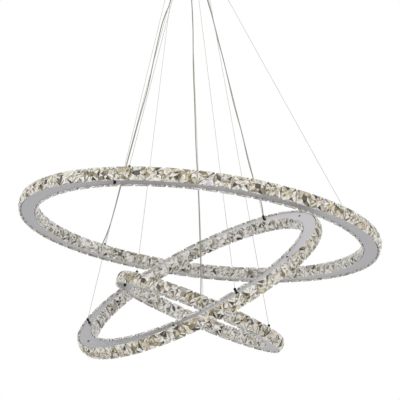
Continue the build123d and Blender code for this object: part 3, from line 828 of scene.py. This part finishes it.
class CHANDELIER_OT_crystals(Operator):
    """Cuts one crystal and sets copies of it round the six faces of the rings"""

    bl_idname = "chandelier.crystals"
    bl_label = "Crystals"

    def execute(self, context):
        sizes = context.scene.chandelier_sizes
        pattern = model_crystal(sizes)
        chooser = random.Random(sizes.facet_seed)
        for name, ring in RINGS.items():
            for side, count in (("outer", ring["outside"]), ("inner", ring["inside"])):
                inner = side == "inner"
                row = make_row(f"cut_crystals_{side}_{name}", pattern, ring, count, inner, chooser)
                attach(row, f"{name}_ring")
                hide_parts(f"crystals_{side}_{name}")
        bpy.data.objects.remove(pattern)
        return {"FINISHED"}


class CHANDELIER_OT_ring_frames(Operator):
    """Finishes the plates, channels, light strips, diffusers and fittings of the rings"""

    bl_idname = "chandelier.ring_frames"
    bl_label = "Ring frames"

    def execute(self, context):
        for name in RINGS:
            dress("satin_plate", f"top_plate_{name}", f"bottom_plate_{name}")
            dress("mill_channel", f"core_channel_{name}")
            dress("light_strip", f"led_strips_{name}")
            dress("frosted_diffuser", f"diffusers_{name}")
            dress("blackened_metal", f"hanger_studs_{name}", f"cable_gland_{name}")
            dress("blackened_metal", f"plate_screws_{name}")
        return {"FINISHED"}


class CHANDELIER_OT_canopy(Operator):
    """Finishes the canopy, its grippers and what is inside it"""

    bl_idname = "chandelier.canopy"
    bl_label = "Canopy"

    def execute(self, context):
        dress("brushed_canopy", "canopy_cover")
        dress("polished_metal", "cap_nuts", "gripper_bodies", "gripper_nuts")
        for name in RINGS:
            for number in range(1, HANGERS + 1):
                dress("polished_metal", f"release_nose_{name}_{number}")
        dress("plated_steel", "mounting_bar", "canopy_studs", "terminal_screws")
        dress("moulded_white", "driver_cases", "driver_lids", "terminal_block")
        dress("green_board", "driver_boards")
        dress("yellow_brass", "earth_screw")
        dress("coiled_steel", "gripper_springs")
        dress("natural_nylon", "cord_grips", "grip_nuts")
        return {"FINISHED"}


class CHANDELIER_OT_stage(Operator):
    """Lays the floor and sets the soft studio light"""

    bl_idname = "chandelier.stage"
    bl_label = "Stage"

    def execute(self, context):
        scene = context.scene
        scene.view_settings.view_transform = "Standard"
        deselect()
        bpy.ops.mesh.primitive_plane_add(size=FLOOR_SIZE, location=(0, 0, FLOOR_HEIGHT))
        floor = bpy.context.object
        floor.name = "floor"
        settle(floor)
        finish = make_finish(
            "plain_floor", scene.chandelier_colours.floor, metallic=0.0, rough=0.7,
            scale=3, amount=0.01,
        )
        floor.data.materials.append(finish)
        for label, place, size, power in LAMPS:
            lamp = bpy.data.lights.new(label, "AREA")
            lamp.size = size
            lamp.energy = power
            source = bpy.data.objects.new(label, lamp)
            source.location = place
            aim = Vector(LAMP_AIM) - Vector(place)
            source.rotation_euler = aim.to_track_quat("-Z", "Y").to_euler()
            scene.collection.objects.link(source)
        world = bpy.data.worlds.new("studio")
        scene.world = world
        world.use_nodes = True
        tree = world.node_tree
        backdrop = tree.nodes["Background"]
        set_values(backdrop, Color=(1, 1, 1, 1))
        paths = tree.nodes.new("ShaderNodeLightPath")
        seen = paths.outputs["Is Camera Ray"]
        for kind in ("Is Transmission Ray", "Is Glossy Ray"):
            seen = add_maths(tree, "MAXIMUM", seen, paths.outputs[kind])
        strength = tree.nodes.new("ShaderNodeMapRange")
        set_values(strength, To_Min=WORLD_LIGHT, To_Max=WORLD_SEEN)
        tree.links.new(seen, strength.inputs["Value"])
        tree.links.new(strength.outputs["Result"], backdrop.inputs["Strength"])
        return {"FINISHED"}


class CHANDELIER_PT_panel(Panel):
    """Lists the chandelier's sizes, colours and pieces"""

    bl_idname = "CHANDELIER_PT_panel"
    bl_label = "Tiered crystal chandelier"
    bl_space_type = "VIEW_3D"
    bl_region_type = "UI"
    bl_category = "Chandelier"

    def draw(self, context):
        for group in (context.scene.chandelier_sizes, context.scene.chandelier_colours):
            box = self.layout.box()
            for name in group.bl_rna.properties.keys():
                if name not in ("rna_type", "name"):
                    box.prop(group, name)
        for step in STEPS:
            self.layout.operator(step.bl_idname)


STEPS = (
    CHANDELIER_OT_camera,
    CHANDELIER_OT_finishes,
    CHANDELIER_OT_cables,
    CHANDELIER_OT_wires,
    CHANDELIER_OT_crystals,
    CHANDELIER_OT_ring_frames,
    CHANDELIER_OT_canopy,
    CHANDELIER_OT_stage,
)
CLASSES = (ChandelierSizes, ChandelierColours, *STEPS, CHANDELIER_PT_panel)


def register():
    """Adds the classes, and the sizes and colours that a scene holds."""
    for kind in CLASSES:
        bpy.utils.register_class(kind)
    bpy.types.Scene.chandelier_sizes = PointerProperty(type=ChandelierSizes)
    bpy.types.Scene.chandelier_colours = PointerProperty(type=ChandelierColours)


def unregister():
    """Takes away what register added."""
    del bpy.types.Scene.chandelier_sizes
    del bpy.types.Scene.chandelier_colours
    for kind in reversed(CLASSES):
        bpy.utils.unregister_class(kind)


def main():
    """Makes the chandelier and its stage."""
    register()
    bpy.ops.chandelier.camera()
    bpy.ops.chandelier.finishes()
    bpy.ops.chandelier.cables()
    bpy.ops.chandelier.wires()
    bpy.ops.chandelier.crystals()
    bpy.ops.chandelier.ring_frames()
    bpy.ops.chandelier.canopy()
    bpy.ops.chandelier.stage()
    bpy.context.view_layer.update()


if __name__ == "__main__":
    main()
